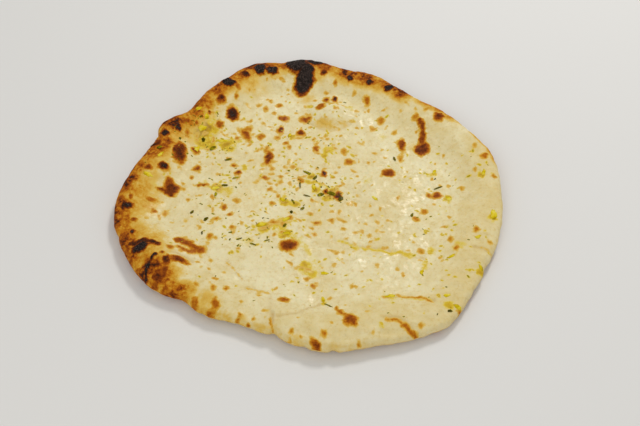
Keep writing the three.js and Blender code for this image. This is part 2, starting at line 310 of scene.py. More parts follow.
# Creases that butter ran along: (strength, width, points along it).
BUTTER_RUNS = [
    (0.5, 4.0, [(24, -50), (36, -55), (48, -58), (62, -61), (76, -63)]),
    (0.6, 3.2, [(-4, 11), (7, 9), (13, 6), (12, -8), (24, -8)]),
    (0.6, 4.0, [(-42, -36), (-30, -33), (-18, -31), (-10, -30)]),
    (0.5, 3.4, [(-84, 10), (-74, 4), (-62, 2)]),
    (0.7, 13.0, [(-90, 84), (-89, 72), (-86, 62), (-83, 52)]),
    (0.9, 8.0, [(-124, 34), (-118, 28), (-117, 22)]),
    (0.45, 3.0, [(52, -103), (70, -104), (88, -109)]),
    (0.35, 6.0, [(-24, -40), (-10, -46), (2, -62), (8, -78)]),
]

# Where butter, green with herbs, soaked in: (x, y, radius, strength).
STAINS = [
    (-89, 65, 15, 1.0), (-89, 80, 13, 1.0), (-86, 55, 11, 0.8), (-82, 70, 16, 0.5),
    (-117, 30, 8, 1.0), (-122, 2, 7, 1.0), (-71, 4, 8, 1.0), (-62, 0, 7, 0.5), (17, -3, 10, 1.0),
    (6, 2, 6, 1.0), (2, 17, 6, 0.9), (-20, -9, 7, 0.9), (-12, -12, 6, 0.7), (-22, -33, 11, 0.7),
    (-34, -36, 8, 0.9), (-17, -43, 7, 0.9), (140, -33, 6, 0.9), (-2, -75, 9, 0.8),
    (4, -80, 8, 0.5), (108, -8, 5, 0.9), (127, -81, 5, 0.8), (51, -131, 5, 0.9),
    (112, -58, 8, 0.4), (59, -103, 8, 0.5), (16, 46, 7, 0.7), (12, 40, 5, 0.8),
    (-66, 50, 12, 0.8), (-58, 55, 7, 0.5), (-46, -50, 10, 0.3), (135, 9, 6, 0.8),
    (-14, 60, 5, 0.8), (-36, 29, 5, 0.7), (-62, 88, 4, 0.7), (-76, 96, 4, 0.4), (0, 95, 5, 0.6),
    (100, -113, 7, 0.6), (12, -106, 5, 0.7), (-52, 25, 5, 0.6), (-24, 12, 5, 0.5),
    (46, 12, 7, 0.4), (92, -60, 6, 0.6), (85, -72, 6, 0.6), (33, 92, 5, 0.5), (98, 18, 6, 0.6),
    (60, 60, 7, 0.3),
]

# Where chopped herb came down with the butter: (x, y, radius, how many bits, share that is green).
HERB_PATCHES = [
    (-86, 58, 24, 60, 0.4), (-88, 82, 14, 20, 0.3), (-70, 44, 16, 24, 0.4), (4, 6, 26, 52, 0.45),
    (20, -6, 12, 30, 0.5), (-22, -30, 26, 46, 0.35), (-46, -50, 20, 34, 0.7),
    (106, -60, 32, 44, 0.2), (126, 18, 20, 18, 0.3), (0, 52, 34, 44, 0.3), (-40, 22, 34, 34, 0.4),
    (66, -102, 26, 16, 0.4), (-74, 0, 16, 18, 0.4), (-120, 30, 20, 18, 0.3),
    (0, 0, 120, 110, 0.25), (-70, -26, 20, 18, 0.6), (84, 30, 26, 20, 0.3),
    (100, -112, 16, 8, 0.5), (0, -80, 26, 18, 0.3), (80, -20, 26, 18, 0.3), (20, 66, 26, 30, 0.2),
]
GREEN_TINT = 0.42                       # tints below this are green leaf, above it yellow garlic

# How many of each random mark, and the seed that places them.
HERB_SEED = 73
FRECKLES, FRECKLE_SEED = 420, 11
BUBBLES, BUBBLE_SEED = 260, 23
PORES, PORE_SEED = 420, 47
UNDER_SPOTS, UNDER_SEED = 520, 61
STREWN_HALF = 148                       # bubbles, pores and spots are strewn this far out

# Uneven dough, in millimetres: (height, size across, seed).
SWELLS = ((0.5, 34, 31), (0.28, 15, 32), (0.16, 6.5, 33))
RIM_SWELLS = ((1.1, 24, 34), (0.55, 11, 35))
CHAR_CRUST = ((0.8, 4.2, 36), (0.5, 2.2, 37))
SKIN = ((0.2, 3.4, 38), (0.08, 1.9, 40))
EDGE_WAVES = ((0.7, 16, 5), (0.45, 6, 6))

# How marks stray from their drawn outlines: (how far, size, seed across, seed along).
SCORCH_STRAY = ((1.3, 7, 1, 3), (0.7, 3, 2, 4))
SEEP_STRAY = ((2.6, 8, 50, 51), (1.2, 3.4, 52, 53))


def chopped_herb():
    """The smallest bits of herb and garlic: (x, y, size, slimness, turn, tint), where tint runs
    from 0, dark green, to 1, tan."""
    chance = np.random.default_rng(HERB_SEED)
    bits = []
    for at_x, at_y, radius, count, green in HERB_PATCHES:
        for _ in range(count):
            away, angle = radius * math.sqrt(chance.random()), chance.uniform(0, math.tau)
            size, slim, turn = chance.uniform((0.9, 0.18, 0), (2.4, 0.6, math.tau))
            size *= 1.6 if chance.random() < 0.15 else 1.0
            is_leaf = chance.random() < green
            tint = chance.uniform(0, GREEN_TINT) if is_leaf else chance.uniform(GREEN_TINT, 1)
            x, y = at_x + away * math.cos(angle), at_y + away * math.sin(angle)
            bits.append((x, y, size, slim, turn, tint))
    return bits


def freckles():
    """Small golden blisters, thickest on the back left half, where the dough was driest."""
    chance = np.random.default_rng(FRECKLE_SEED)
    found = []
    while len(found) < FRECKLES:
        x, y = chance.uniform(-145, 145, 2)
        size, heat, stretch, turn = chance.uniform((1.6, 0.3, 0.7, -60), (3.6, 0.56, 1.5, 60))
        nearness = ramp(175, 40, math.hypot(x + 28, y - 42))
        if math.hypot(x, y) < 132 and chance.random() < 0.12 + 0.88 * nearness:
            found.append((x, y, size * stretch, size / stretch, heat, turn))
    return found


def turned(u, v, turn):
    """Distances along and across a direction, from distances along x and y."""
    return u * math.cos(turn) + v * math.sin(turn), v * math.cos(turn) - u * math.sin(turn)


def inside_spot(x, y, spot):
    """How far each point is inside an oval spot, in millimetres: negative is outside."""
    at_x, at_y, length, width = spot[:4]
    turn = math.radians(spot[5] if len(spot) > 5 else 0)
    u, v = turned(x - at_x, y - at_y, turn)
    return (1 - np.hypot(2 * u / length, 2 * v / width)) * min(length, width) / 2


def from_line(x, y, points):
    """Distance of each point from a line of joined stretches."""
    nearest = np.full(x.shape, 1e3)
    for (x0, y0), (x1, y1) in zip(points, points[1:]):
        go_x, go_y = x1 - x0, y1 - y0
        run = np.clip(((x - x0) * go_x + (y - y0) * go_y) / (go_x ** 2 + go_y ** 2), 0, 1)
        nearest = np.minimum(nearest, np.hypot(x - x0 - run * go_x, y - y0 - run * go_y))
    return nearest


FAR_OUT = -6.0          # millimetres from a scorch mark at which it no longer counts
NEAREST_WINS = 2        # the higher, the more sharply the nearest mark wins over the others


def scorching(x, y, spots, streaks):
    """Distance inside the nearest scorch mark, and the heat of it, at each point."""
    x, y = wandered(x, y, SCORCH_STRAY)
    pull = np.full(x.shape, math.exp(NEAREST_WINS * FAR_OUT))
    heat = np.zeros(x.shape)
    marks = [(spot[4], inside_spot(x, y, spot), min(spot[2:4])) for spot in spots]
    marks += [(hot, width / 2 - from_line(x, y, line), width) for hot, width, line in streaks]
    for hot, inside, size in marks:
        depth = np.clip(inside / (1 + 0.04 * size), FAR_OUT, -FAR_OUT)
        weight = np.exp(NEAREST_WINS * depth)
        pull += weight
        heat += hot * weight
    return np.log(pull) / NEAREST_WINS, heat / pull


def blobs(x, y, places):
    """Soft round patches that fade out at their radius and never add up past 1."""
    left = np.ones(x.shape)
    for at_x, at_y, radius, strength in places:
        near = np.abs(x - at_x) < radius
        away = np.hypot(x[near] - at_x, y[near] - at_y) / radius
        left[near] *= 1 - strength * ramp(1, 0.1, away)
    return 1 - left


def dyed_by(x, y, bits):
    """Yellow-green dye that seeped from each chopped bit, 0 to 1: deepest right round the bit."""
    dye = np.zeros(x.shape)
    for at_x, at_y, size, slim, turn, tint in bits:
        reach = 1.0 + (0.9 if tint > GREEN_TINT else 0.5) * size
        near = (np.abs(x - at_x) < reach) & (np.abs(y - at_y) < reach)
        u, v = turned(x[near] - at_x, y[near] - at_y, turn)
        depth = ramp(reach, 0, np.hypot(u, v / max(slim, 0.55))) * (0.45 + 0.5 * tint)
        dye[near] = np.maximum(dye[near], depth)
    return dye


def bubbles(x, y, count, seed, largest):
    """Low round pillows where small gas pockets lift the skin, 0 to 1 high."""
    chance = np.random.default_rng(seed)
    height = np.zeros(x.shape)
    for _ in range(count):
        at_x, at_y = chance.uniform(-STREWN_HALF, STREWN_HALF, 2)
        radius, rise = chance.uniform((2.5, 0.3), (largest, 1.0))
        away = ((x - at_x) ** 2 + (y - at_y) ** 2) / radius ** 2
        near = away < 1
        height[near] = np.maximum(height[near], rise * (1 - away[near]) ** 1.5)
    return height


def rim_toasting(turn, from_edge):
    """Heat of the rim's own toasting, 0 to 1."""
    heat = np.zeros(turn.shape)
    for degrees, half_width, depth, hot in RIM_TOAST:
        away = np.abs((turn * 360 - degrees + 180) % 360 - 180)
        round_it = ramp(1.3 * half_width, 0.2 * half_width, away)
        heat = np.maximum(heat, hot * round_it * ramp(depth, 0.25 * depth, from_edge))
    return heat


def outline_at(turn):
    """The outline's reach in metres, with its small waves and nicks."""
    reach = round_the_bread(reach_table, turn)
    radius = DRAWN_WIDTH / 2
    round_mm = turn * math.tau * radius
    wave = layers(round_mm, round_mm * 0, EDGE_WAVES)
    for degrees, width, depth in NICKS:
        away = (turn - degrees / 360 + 0.5) % 1 - 0.5
        wave = wave - depth * np.exp(-(away * math.tau * radius / width) ** 2)
    seam = ramp(0, 0.01, turn) * ramp(1, 0.99, turn)        # no wave where the two ends meet
    return reach + wave * seam * MM


def ring_layout():
    """One row per ring, from the middle of the top, over the edge, to the middle underneath:
    (number of points, share of the way out, side), where side is 1 on top and -1 under."""
    rows = [(1, 0.0, 1.0)]
    flat = 1 - EDGE_SHARE
    for ring in range(1, TOP_RINGS + 1):
        rows.append((COLUMNS_PER_RING * ring, flat * ring / TOP_RINGS, 1.0))
    for ring in range(1, EDGE_RINGS):
        slope = math.pi * (0.5 - ring / EDGE_RINGS)
        out = flat + EDGE_SHARE * math.cos(slope)
        rows.append((COLUMNS_PER_RING * TOP_RINGS, out, math.sin(slope)))
    for ring in range(UNDER_RINGS, 0, -1):
        rows.append((COLUMNS_PER_RING * ring, flat * ring / UNDER_RINGS, -1.0))
    rows.append((1, 0.0, -1.0))
    return rows


def stitch(first, first_count, second, second_count):
    """Triangles between two rings of any two sizes, walking round both together."""
    faces = []
    i = j = 0
    while i < first_count or j < second_count:
        here, there = first + i % first_count, second + j % second_count
        step_first = j >= second_count or (
            i < first_count and (i + 1) * second_count <= (j + 1) * first_count)
        if step_first:
            i += 1
            following = first + i % first_count
        else:
            j += 1
            following = second + j % second_count
        if len({here, there, following}) == 3:
            faces.append((here, there, following))
    return faces


def ring_places():
    """Of every point of the bread: how far round it is (0 to 1), its share of the way out, and
    its side. With them come the faces between the points."""
    rows = ring_layout()
    counts = [count for count, _, _ in rows]
    starts = np.concatenate([[0], np.cumsum(counts)])
    turn = np.concatenate([np.arange(count) / count for count in counts])
    share = np.concatenate([np.full(count, out) for count, out, _ in rows])
    side = np.concatenate([np.full(count, up) for count, _, up in rows])
    faces = []
    for ring in range(len(rows) - 1):
        faces += stitch(starts[ring], counts[ring], starts[ring + 1], counts[ring + 1])
    return turn, share, side, faces


def soaked_in(x, y):
    """How deeply green butter has stained the top at each point, 0 to 1."""
    seep_x, seep_y = wandered(x, y, SEEP_STRAY)
    stain = np.maximum(blobs(seep_x, seep_y, STAINS), dyed_by(x, y, herb_bits))
    for strength, width, line in BUTTER_RUNS:
        stain = np.maximum(stain, strength * ramp(width, 0, from_line(seep_x, seep_y, line)))
    return stain


def top_relief(x, y, rim, inner, heat):
    """Rise of the top above the plain dough in millimetres, and the painted shade along its
    creases, 0 to 1.
    """
    relief = layers(x, y, SWELLS)
    relief += rim * layers(x, y, RIM_SWELLS)
    relief += 0.65 * bubbles(x, y, BUBBLES, BUBBLE_SEED, 8.5)
    for at_x, at_y, radius, rise in PILLOWS:
        relief += rise * (1 - np.hypot(x - at_x, y - at_y) ** 2 / radius ** 2).clip(0) ** 1.2
    # each scorched spot is a blister, and charred skin is cracked and lumpy
    relief += 0.55 * ramp(-0.6, 1.8, inner) * ramp(0.4, 0.8, heat)
    char = ramp(0.88, 1.0, heat) * ramp(-0.5, 1.5, inner)
    relief += char * layers(x, y, CHAR_CRUST, 0.9)
    # wrinkles from stretching, strongest at the front right
    relief += 0.26 * hills(0.4 * x + 0.15 * y, y, 5, 39) * ramp(80, -20, y - 0.5 * x)
    relief += layers(x, y, SKIN)
    # each crease dents the top, and its dent also sets the painted shade that darkens the crust
    # along it
    crease_shade = np.zeros(x.shape)
    for depth, width, line in CREASES:
        dent = np.exp(-(from_line(x, y, line) / width) ** 2)
        relief -= depth * dent
        crease_shade = np.maximum(crease_shade, dent ** 2 * min(1, 1.4 * depth))
    return relief, crease_shade


def under_relief(x, y, rim, from_edge):
    """Rise of the underside in millimetres: pores, and hollows where it came off the clay."""
    rise = 0.35 * bubbles(x + 9, y, PORES, PORE_SEED, 7)
    rise += 0.2 * (hills(x, y, 12, 48) + 1) * ramp(0, 20, from_edge)
    rise += 0.6 * rim * (hills(x, y, 19, 49) + 0.7).clip(0)
    return rise


def bread_shape():
    """The bread's points in metres, its faces, the fields that its crust is coloured by, and
    where each point lies in the rings."""
    turn, share, side, faces = ring_places()
    reach = outline_at(turn)
    plan_x = share * reach * np.cos(turn * math.tau)
    plan_y = share * reach * np.sin(turn * math.tau)
    x, y = plan_x * across, plan_y * along          # millimetres on the bread as drawn
    from_edge = (1 - share) * reach / MM
    flat_share = np.minimum(share / (1 - EDGE_SHARE), 1)
    over = on_the_bread(top_table, turn, flat_share) / MM
    under = on_the_bread(under_table, turn, flat_share) / MM

    rim = ramp(RIM_INNER, RIM_OUTER, from_edge)
    inner, heat = scorching(x, y, SPOTS + freckles(), STREAKS)
    relief, crease_shade = top_relief(x, y, rim, inner, heat)
    over += relief * ramp(0, 5, from_edge)          # the relief dies out at the very edge
    under = under + under_relief(x, y, rim, from_edge) * ramp(0, 6, from_edge)
    under = np.minimum(under, over - THINNEST)
    z = under + (over - under) * (side + 1) / 2

    under_inner, under_heat = scorching(x, y, scattered_scorch(UNDER_SPOTS, UNDER_SEED), [])
    below = side < 0
    fields = {
        "scorch_depth": np.where(below, under_inner, inner),
        "scorch_heat": np.where(below, under_heat, heat),
        "haze_and_lip_shade": np.maximum(0.62 * blobs(x, y, HAZES_AND_LIP_SHADE), rim_toasting(turn, from_edge)),
        "stain": np.where(below, 0, soaked_in(x, y)),
        "crease_shade": np.where(below, 0, crease_shade),
        "rim": rim,
        "topside": ramp(UNDER_FACE, 0.3, side),
    }
    points = np.stack([plan_x, plan_y, z * MM], 1)
    return points, faces, fields, turn, share, side


def scattered_scorch(count, seed):
    """Scorch marks of the underside, which lay on the clay: many small, a few wide."""
    chance = np.random.default_rng(seed)
    found = []
    for _ in range(count):
        x, y = chance.uniform(-STREWN_HALF, STREWN_HALF, 2)
        size = 2.0 + 11.0 * chance.random() ** 4
        heat, stretch, turn = chance.uniform((0.34, 0.7, -90), (0.86, 1.5, 90))
        found.append((x, y, size * stretch, size / stretch, heat, turn))
    return found


def crust_map(mesh, turn, share, side):
    """Lays the top and edge out flat as one disc and the underside as another."""
    top_radius, under_radius, margin = 0.345, 0.2, 0.008
    corner = np.empty(len(mesh.loops), int)
    mesh.loops.foreach_get("vertex_index", corner)
    on_top = np.repeat(side[corner].reshape(-1, 3).max(axis=1) > UNDER_FACE, 3)
    share, side, turn = share[corner], side[corner], turn[corner]
    unrolled = top_radius * (share + EDGE_SHARE * (1 - side))
    angle = turn * math.tau * np.where(on_top, 1, -1)
    spread = np.where(on_top, unrolled, under_radius * share)
    top_middle = (1 + 2 * EDGE_SHARE) * top_radius + margin
    middle = np.where(on_top, top_middle, 1 - under_radius - margin)
    places = np.stack([middle + spread * np.cos(angle), middle + spread * np.sin(angle)], 1)
    layer = mesh.uv_layers.new(name="OFBake")
    layer.data.foreach_set("uv", places.astype(np.float32).ravel())


def make_mesh(name, points, faces, fields):
    """A smooth-shaded piece, with a value of each field at each of its points."""
    mesh = bpy.data.meshes.new(name)
    corners = [tuple(map(int, face)) for face in faces]
    mesh.from_pydata([tuple(point) for point in points], [], corners)
    for field, values in fields.items():
        layer = mesh.attributes.new(field, "FLOAT", "POINT")
        layer.data.foreach_set("value", np.asarray(values, np.float32))
    mesh.polygons.foreach_set("use_smooth", [True] * len(mesh.polygons))
    mesh.update()
    piece = bpy.data.objects.new(name, mesh)
    bpy.context.scene.collection.objects.link(piece)
    return piece


herb_bits = chopped_herb()
points, faces, fields, turn, share, side = bread_shape()
bread = make_mesh("naan_bread_baked", points, faces, fields)
crust_map(bread.data, turn, share, side)
bread_tree = BVHTree.FromPolygons(points.tolist(), faces)


def srgb(red, green, blue):
    """A colour in ordinary 0 to 255 numbers, as the linear colour that the shader takes."""
    tone = np.array([red, green, blue]) / 255
    linear = np.where(tone <= 0.04045, tone / 12.92, ((tone + 0.055) / 1.055) ** 2.4)
    return (*linear, 1.0)


class Nodes:
    """Short ways to add and join the nodes of one material or group."""

    def __init__(self, tree):
        self.tree = tree

    def add(self, kind, fed=None, **settings):
        """A new node of a kind with its settings, its sockets fed by name or number."""
        node = self.tree.nodes.new(kind)
        for key, value in settings.items():
            setattr(node, key, value)
        for socket, value in (fed or {}).items():
            self.feed(node.inputs[socket], value)
        return node

    def feed(self, socket, value):
        if isinstance(value, bpy.types.NodeSocket):
            self.tree.links.new(value, socket)
        else:
            socket.default_value = value

    def maths(self, operation, *values):
        return self.add("ShaderNodeMath", dict(enumerate(values)), operation=operation).outputs[0]

    def total(self, *parts, centred=False):
        """Sum of (socket, share) pairs, each socket times its share; centred on 0 if asked."""
        result = None
        for value, share in parts:
            term = self.maths("MULTIPLY_ADD", value, share, -share / 2 if centred else 0.0)
            result = term if result is None else self.maths("ADD", result, term)
        return result

    def noise(self, place, size, detail=3.0, rough=0.55):
        """Noise, 0 to 1, whose patches are about `size` millimetres across."""
        fed = {"Vector": place, "Scale": 1 / (size * MM), "Detail": detail, "Roughness": rough}
        return self.add("ShaderNodeTexNoise", fed).outputs["Fac"]

    def span(self, value, low, high, to_low=0.0, to_high=1.0, kind="SMOOTHSTEP"):
        """Turns the range from low to high into the range from to_low to to_high."""
        fed = {"Value": value, "From Min": low, "From Max": high,
               "To Min": to_low, "To Max": to_high}
        return self.add("ShaderNodeMapRange", fed, interpolation_type=kind).outputs["Result"]

    def mix(self, share, first, second):
        """From the first colour to the second; a mix node's colour sockets are 6, 7 and 2."""
        fed = {"Factor": share, 6: first, 7: second}
        return self.add("ShaderNodeMix", fed, data_type="RGBA").outputs[2]

    def colours(self, value, stops):
        node = self.add("ShaderNodeValToRGB", {"Fac": value})
        band = node.color_ramp
        while len(band.elements) < len(stops):
            band.elements.new(0.5)
        for element, (place, colour) in zip(band.elements, stops):
            element.position = place
            element.color = colour
        return node.outputs["Color"]

    def place(self):
        return self.add("ShaderNodeTexCoord").outputs["Object"]

    def field(self, name):
        return self.add("ShaderNodeAttribute", attribute_name=name).outputs["Fac"]

    def bump(self, shader, height, distance, strength):
        fed = {"Height": height, "Distance": distance, "Strength": strength}
        self.feed(shader.inputs["Normal"], self.add("ShaderNodeBump", fed).outputs["Normal"])

    def group(self, group, **values):
        fed = {name.replace("_", " "): value for name, value in values.items()}
        return self.add("ShaderNodeGroup", fed, node_tree=group).outputs


def new_group(name, inputs, outputs):
    """An empty shader group, whose inputs and outputs are (name, kind) pairs."""
    tree = bpy.data.node_groups.new(name, "ShaderNodeTree")
    for way, sockets in (("INPUT", inputs), ("OUTPUT", outputs)):
        for label, kind in sockets:
            tree.interface.new_socket(label, in_out=way, socket_type="NodeSocket" + kind)
    nodes = Nodes(tree)
    return tree, nodes, nodes.add("NodeGroupInput").outputs, nodes.add("NodeGroupOutput").inputs


def toasting_group():
    """Turns a colour golden, then brown, then black, as heat goes from 0 to 1."""
    tree, nodes, given, result = new_group(
        "toasting", [("Colour", "Color"), ("Heat", "Float")], [("Colour", "Color")])
    toast = nodes.colours(given["Heat"], [
        (0.00, srgb(232, 208, 134)), (0.20, srgb(226, 188, 88)), (0.38, srgb(212, 156, 40)),
        (0.52, srgb(196, 122, 10)), (0.66, srgb(170, 90, 2)), (0.78, srgb(130, 58, 0)),
        (0.88, srgb(84, 34, 0)), (0.95, srgb(46, 22, 6)), (1.00, srgb(26, 18, 14))])
    shown = nodes.span(given["Heat"], 0.02, 0.22)
    nodes.feed(result["Colour"], nodes.mix(shown, given["Colour"], toast))
    return tree


def butter_group():
    """Melted butter on a surface: where it lies in a wet film, and how smooth that leaves it."""
    tree, nodes, given, result = new_group(
        "melted butter", [("Amount", "Float"), ("Dry roughness", "Float")],
        [("Film", "Float"), ("Roughness", "Float")])
    place = nodes.place()
    pools = nodes.total((nodes.noise(place, 26, 2), 1.0), (nodes.noise(place, 5, 3), 0.5))
    film = nodes.span(nodes.maths("ADD", pools, given["Amount"]), 1.0, 1.45)
    nodes.feed(result["Film"], film)
    nodes.feed(result["Roughness"], nodes.maths(
        "MULTIPLY", given["Dry roughness"], nodes.span(film, 0, 1, 1.0, 0.34, "LINEAR")))
    return tree


def new_material(name):
    material = bpy.data.materials.new(name)
    material.use_nodes = True
    return material, Nodes(material.node_tree), material.node_tree.nodes["Principled BSDF"]


def soft_and_wet(shader, specular, glow, glow_colour):
    """Settings that dough and herb share: how they mirror, and how light seeps through them."""
    for name, value in (("Coat Roughness", 0.2), ("Specular IOR Level", specular),
                        ("Subsurface Weight", glow), ("Subsurface Radius", glow_colour),
                        ("Subsurface Scale", MM)):
        shader.inputs[name].default_value = value


toasting = toasting_group()
butter = butter_group()


def crust_material():
    """Baked dough: cream to golden, mottled, freckled, scorched, with butter soaked in."""
    material, nodes, shader = new_material("baked_dough_crust")
    place = nodes.place()
    haze_and_lip_shade, stain, rim = nodes.field("haze_and_lip_shade"), nodes.field("stain"), nodes.field("rim")
    topside, crease_shade = nodes.field("topside"), nodes.field("crease_shade")
    broad, patchy = nodes.noise(place, 45, 3), nodes.noise(place, 9, 4, 0.6)
    fine, grain = nodes.noise(place, 2.6, 4, 0.65), nodes.noise(place, 0.9, 3, 0.6)

    # plain dough, paler and warmer in patches, with painted shade darkening its creases, and the
    # dull underside
    cream, straw, tan = srgb(242, 231, 187), srgb(227, 206, 144), srgb(214, 182, 102)
    warmth = nodes.total((rim, 0.1), (broad, 0.55), (patchy, 0.5))
    colour = nodes.mix(nodes.span(warmth, 0.36, 0.78), cream, straw)
    colour = nodes.mix(nodes.span(fine, 0.48, 0.72, 0, 0.5), colour, tan)
    # painted shade: a darker tan along each crease
    colour = nodes.mix(nodes.maths("MULTIPLY", crease_shade, 0.5), colour, srgb(192, 154, 76))
    under_tone = nodes.mix(nodes.span(patchy, 0.35, 0.7), srgb(222, 190, 132), srgb(194, 146, 82))
    colour = nodes.mix(topside, under_tone, colour)

    # butter, stained yellow and green by the herbs
    blotchy = nodes.span(nodes.total((patchy, 1.0), (fine, 0.8)), 0.62, 1.1, 0.4, 1.15)
    stained = nodes.maths("MULTIPLY", stain, blotchy)
    herb_tone = nodes.colours(stained, [
        (0.2, srgb(230, 208, 104)), (0.45, srgb(224, 192, 34)), (0.7, srgb(204, 162, 2)),
        (1.0, srgb(166, 122, 0))])
    colour = nodes.mix(nodes.span(stained, 0.05, 0.45, 0, 0.95), colour, herb_tone)

    # scorched spots, whose outlines wander, the broad toasting between them, and painted shade on
    # the big bubble's front lip
    wander = nodes.total((fine, 1.9), (patchy, 1.6), centred=True)
    depth = nodes.maths("ADD", nodes.field("scorch_depth"), wander)
    spot_heat = nodes.maths("MULTIPLY", nodes.field("scorch_heat"), nodes.span(depth, -1.2, 1.6))
    spot_heat = nodes.maths("MULTIPLY", spot_heat, nodes.span(depth, 0.5, 3.2, 0.96, 1.12))
    mottle = nodes.total((patchy, 0.85), (fine, 0.3))
    # the broad toasting, with the painted shade on the bubble's lip carried along as heat
    haze_and_lip_shade_heat = nodes.maths("MULTIPLY", haze_and_lip_shade, nodes.span(mottle, 0.36, 0.82, 0.45, 1.15))
    heat = nodes.maths("MAXIMUM", spot_heat, haze_and_lip_shade_heat)
    uneven = nodes.total((grain, 0.2), (fine, 0.36), centred=True)
    heat = nodes.maths("MULTIPLY_ADD", uneven, nodes.span(heat, 0.1, 0.5), heat)
    colour = nodes.group(toasting, Colour=colour, Heat=heat)["Colour"]
    # grey ash on the charred skin, partly a painted highlight standing in for the char's grey
    # sheen
    ash_and_glint = nodes.maths(
        "MULTIPLY", nodes.span(heat, 0.93, 1.0), nodes.span(grain, 0.5, 0.66, 0, 0.6))
    colour = nodes.mix(ash_and_glint, colour, srgb(112, 92, 84))
    nodes.feed(shader.inputs["Base Color"], colour)

    # the film of butter, thin on the rim, and none below, on scorch marks or where it soaked in
    wetness = nodes.maths("MULTIPLY", nodes.maths("MULTIPLY_ADD", rim, -0.3, 0.42), topside)
    dry_roughness = nodes.span(heat, 0.2, 0.7, 0.62, 0.85)
    film = nodes.group(butter, Amount=wetness, Dry_roughness=dry_roughness)
    shine = nodes.span(nodes.maths("MAXIMUM", heat, stained), 0.15, 0.55, 0.24, 0.0)
    nodes.feed(shader.inputs["Coat Weight"], nodes.maths("MULTIPLY", film["Film"], shine))
    nodes.feed(shader.inputs["Roughness"], film["Roughness"])
    soft_and_wet(shader, 0.18, 0.08, (1.0, 0.7, 0.4))

    pits = nodes.span(nodes.noise(place, 3.4, 2), 0.3, 0.42)
    nodes.bump(shader, nodes.total((fine, 0.5), (grain, 0.22), (pits, 0.35)), 0.7 * MM, 0.8)
    return material


bread.data.materials.append(crust_material())
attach(bread, "root")
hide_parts("naan_bread")


# --------------------
# Coriander. Torn leaf tips and short lengths of stem, strewn on the wet butter. Each is a thin
# flake with a ragged edge that has wilted and curled in the heat, and stuck down where it fell.
# --------------------

FLAKE_COLUMNS, FLAKE_RINGS = 22, 4
FLAKE_POINTS = 1 + FLAKE_RINGS * FLAKE_COLUMNS      # on one side
SUNK = 0.1 * MM                                     # how far each scrap has sunk into the dough
LEAF_SEED, GARLIC_SEED, FLECK_SEED = 71, 72, 74


def resting_height(x, y, beyond_edge):
    """Height of the bread under a place, or `beyond_edge` where the place overhangs the edge."""
    height = height_of(bread_tree, x, y)
    return beyond_edge if height is None else height


def longest_way(node):
    """Middle of a node in plan, the way it points, its length and its width."""
    flat = np.array([vertex.co[:2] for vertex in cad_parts[node].data.vertices])
    low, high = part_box(node)
    middle = np.array([(low.x + high.x) / 2, (low.y + high.y) / 2])
    way = np.linalg.eigh(np.cov((flat - middle).T))[1][:, 1]
    reach = np.ptp((flat - middle) @ np.array([way, (-way[1], way[0])]).T, axis=0)
    return middle, way, reach[0], reach[1]


def flake_faces():
    """The faces of a flake: an underside and a top, each a disc of rings, joined at the rim."""
    faces = []
    under = FLAKE_POINTS - FLAKE_COLUMNS        # the outermost ring of the underside
    over = under + FLAKE_POINTS                 # and of the top
    for base, outermost, way in ((0, under, -1), (FLAKE_POINTS, over, 1)):
        for column in range(FLAKE_COLUMNS):
            following = (column + 1) % FLAKE_COLUMNS
            faces.append((base, base + 1 + column, base + 1 + following)[::way])
            for inner in range(base + 1, outermost, FLAKE_COLUMNS):
                outer = inner + FLAKE_COLUMNS
                quad = (inner + column, outer + column, outer + following, inner + following)
                faces.append(quad[::way])
    for column in range(FLAKE_COLUMNS):
        following = (column + 1) % FLAKE_COLUMNS
        faces.append((under + column, under + following, over + following, over + column))
    return faces


def flake(name, node, chance, thickness, raggedness, curl, dome):
    """A thin scrap with a ragged outline that follows the dough beneath it, closed all round."""
    middle, way, length, width = longest_way(node)
    angle = np.arange(FLAKE_COLUMNS) * math.tau / FLAKE_COLUMNS
    edge = 1.04 + raggedness * sum(
        chance.uniform(0.3, 0.7) * np.cos(lobes * angle + chance.uniform(0, math.tau))
        for lobes in (2, 3, 5, 8))
    bend, lift = chance.uniform(0, math.tau), chance.uniform(0.4, 1.0) * curl
    seat = height_of(bread_tree, *middle)
    points = []
    for upper in (0, 1):
        for ring in range(FLAKE_RINGS + 1):
            out = ring / FLAKE_RINGS
            for column in range(FLAKE_COLUMNS if ring else 1):
                along_way = out * edge[column] * length / 2 * math.cos(angle[column])
                across_way = out * edge[column] * width / 2 * math.sin(angle[column])
                x = middle[0] + along_way * way[0] - across_way * way[1]
                y = middle[1] + along_way * way[1] + across_way * way[0]
                raised = lift * out ** 2 * (0.5 + 0.5 * math.cos(2 * angle[column] + bend))
                body = thickness * (1 - 0.75 * out ** 2) + dome * (1 - out ** 2)
                z = resting_height(x, y, seat) + raised + (body if upper else -SUNK)
                points.append((x, y, z))
    return make_mesh(name, points, flake_faces(), {})


def herb_material(name, darkest, middle, lightest, dry_roughness, vein_size):
    """A wet scrap of herb: blotched from its darkest to its lightest colour, finely veined."""
    material, nodes, shader = new_material(name)
    place = nodes.place()
    blotch = nodes.total((nodes.noise(place, 4.5, 3), 0.7), (nodes.noise(place, 30, 1), 0.3))
    colour = nodes.colours(blotch, [(0.34, darkest), (0.5, middle), (0.66, lightest)])
    nodes.feed(shader.inputs["Base Color"], colour)
    film = nodes.group(butter, Amount=0.5, Dry_roughness=dry_roughness)
    nodes.feed(shader.inputs["Roughness"], film["Roughness"])
    nodes.feed(shader.inputs["Coat Weight"], nodes.maths("MULTIPLY", film["Film"], 0.05))
    soft_and_wet(shader, 0.03, 0.1, (0.7, 0.6, 0.1))
    nodes.bump(shader, nodes.noise(place, vein_size, 3, 0.7), 0.2 * MM, 0.6)
    return material


